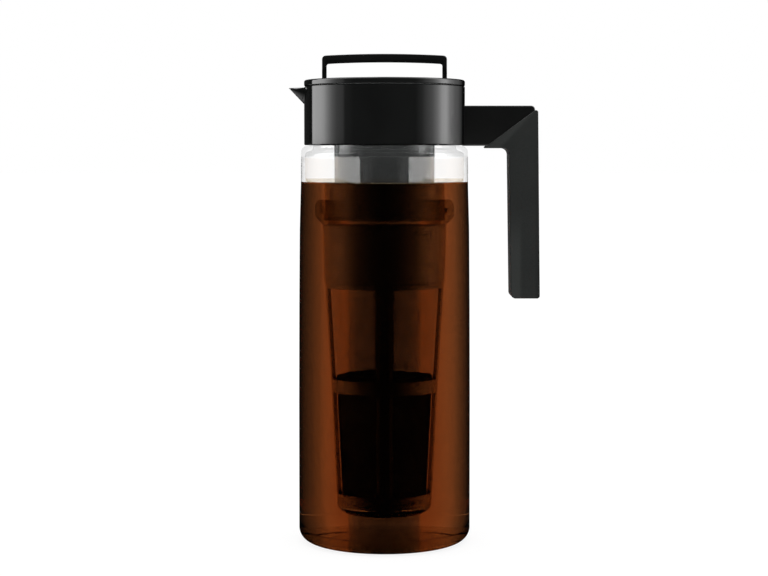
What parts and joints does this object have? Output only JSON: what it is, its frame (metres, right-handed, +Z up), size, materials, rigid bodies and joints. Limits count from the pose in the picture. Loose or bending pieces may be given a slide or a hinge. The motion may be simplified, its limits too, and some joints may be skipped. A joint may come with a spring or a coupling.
{
  "type": "cold brew coffee maker",
  "caption": "Tall clear cylindrical brewing jug with a clamped black collar, beak spout, side handle, turning lid with a folding bail, and a mesh coffee basket hung from the lid.",
  "frame": {"origin": "centre of the jug's foot ring, on the surface it stands on", "axes": "+Z up along the jug's axis, +X towards the handle, -X towards the pouring spout, -Y towards the pictured side"},
  "size_m": [0.1592, 0.1098, 0.3109],
  "materials": {
    "clear_plastic": "clear polished copolyester",
    "gloss_black": "gloss black moulding",
    "satin_black": "satin black moulding",
    "grip_rubber": "matt dark grey soft-touch silicone",
    "seal_silicone": "translucent grey silicone",
    "smoke_plastic": "smoke-tinted copolyester",
    "mesh_nylon": "fine woven nylon filter mesh",
    "steel": "stainless steel"
  },
  "bodies": {
    "pitcher": {"jug": "clear_plastic", "neck_gasket": "seal_silicone", "collar": "gloss_black", "handle_core": "satin_black", "handle_screws": "steel", "handle_grip": "grip_rubber"},
    "seal": {"lid_seal": "seal_silicone"},
    "lid": {"lid_cap": "gloss_black", "lid_plug": "satin_black", "flange_gasket": "seal_silicone", "spout_pad": "seal_silicone", "pour_strainer": "satin_black", "bail_pins": "steel", "socket_gasket": "seal_silicone"},
    "bail": {"bail_handle": "gloss_black"},
    "infuser": {"infuser_tube": "smoke_plastic"},
    "basket": {"basket_gasket": "seal_silicone", "basket_frame": "smoke_plastic", "filter_mesh": "mesh_nylon", "basket_base": "smoke_plastic"}
  },
  "joints": [
    {"name": "lid_lift", "type": "slide", "parent": "pitcher", "child": "seal", "axis": [0, 0, 1], "range_m": [0, 0.275]},
    {"name": "lid_turn", "type": "hinge", "parent": "seal", "child": "lid", "pos_m": [0, 0, 0.29], "axis": [0, 0, 1], "range_deg": [0, 90]},
    {"name": "bail_fold", "type": "hinge", "parent": "lid", "child": "bail", "pos_m": [0, 0, 0.29235], "axis": [1, 0, 0], "range_deg": [0, 90]},
    {"name": "infuser_twist", "type": "hinge", "parent": "lid", "child": "infuser", "pos_m": [0, 0, 0.27], "axis": [0, 0, -1], "range_deg": [0, 35]},
    {"name": "basket_twist", "type": "hinge", "parent": "infuser", "child": "basket", "pos_m": [0, 0, 0.211], "axis": [0, 0, -1], "range_deg": [0, 35]}
  ]
}
